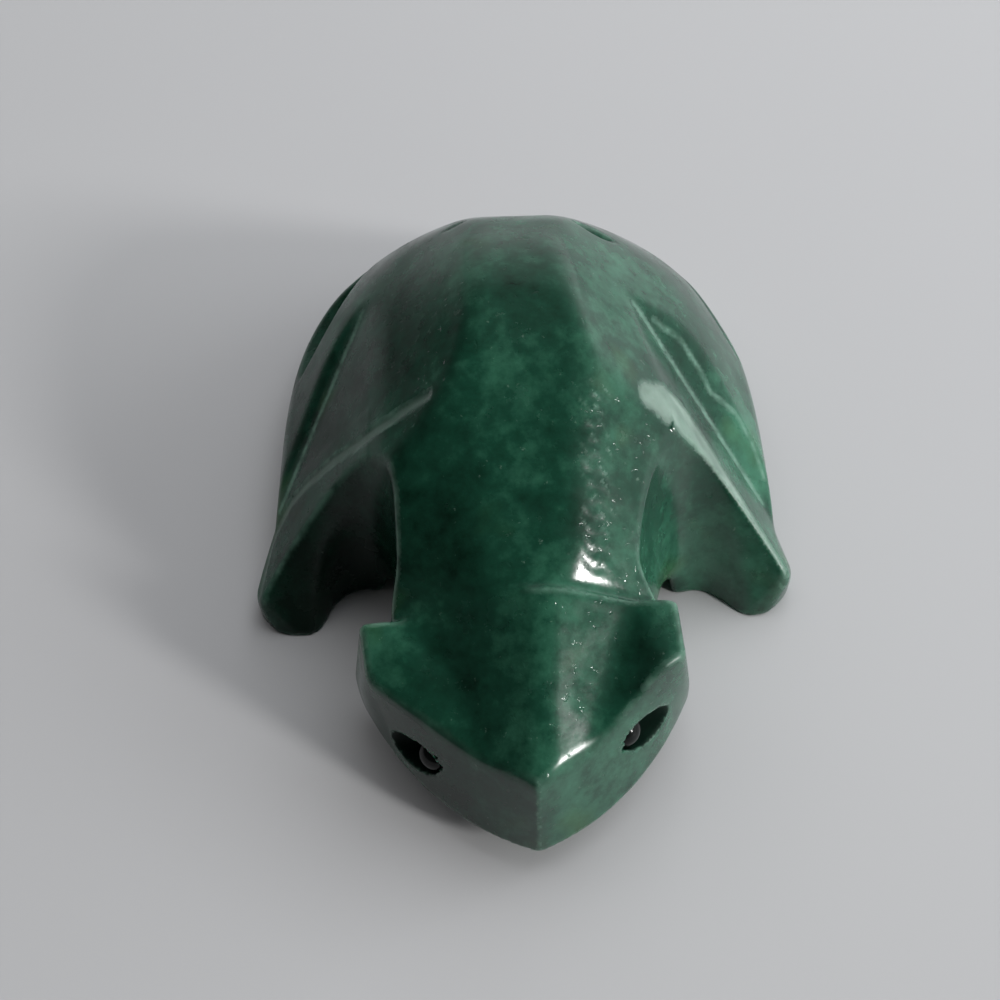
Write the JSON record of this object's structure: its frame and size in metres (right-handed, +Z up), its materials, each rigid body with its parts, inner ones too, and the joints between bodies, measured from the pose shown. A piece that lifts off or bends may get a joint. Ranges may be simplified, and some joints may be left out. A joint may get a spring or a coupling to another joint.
{
  "type": "stone frog figurine",
  "caption": "Small crouching frog ground from polished dark green stone, with faceted back, scooped arms, cut thigh lines and dark inlaid eyes.",
  "frame": {"origin": "middle of the footprint, on the surface the frog sits on", "axes": "+Z up, head towards -Y, +X to the right of a person whom the frog faces"},
  "size_m": [0.0436, 0.0572, 0.0224],
  "materials": {
    "green_stone": "polished stone, mottled dark green, slightly translucent",
    "dark_inlay": "glossy black"
  },
  "bodies": {
    "root": {"frog_body": "green_stone", "eye_right": "dark_inlay", "eye_left": "dark_inlay"}
  },
  "joints": []
}
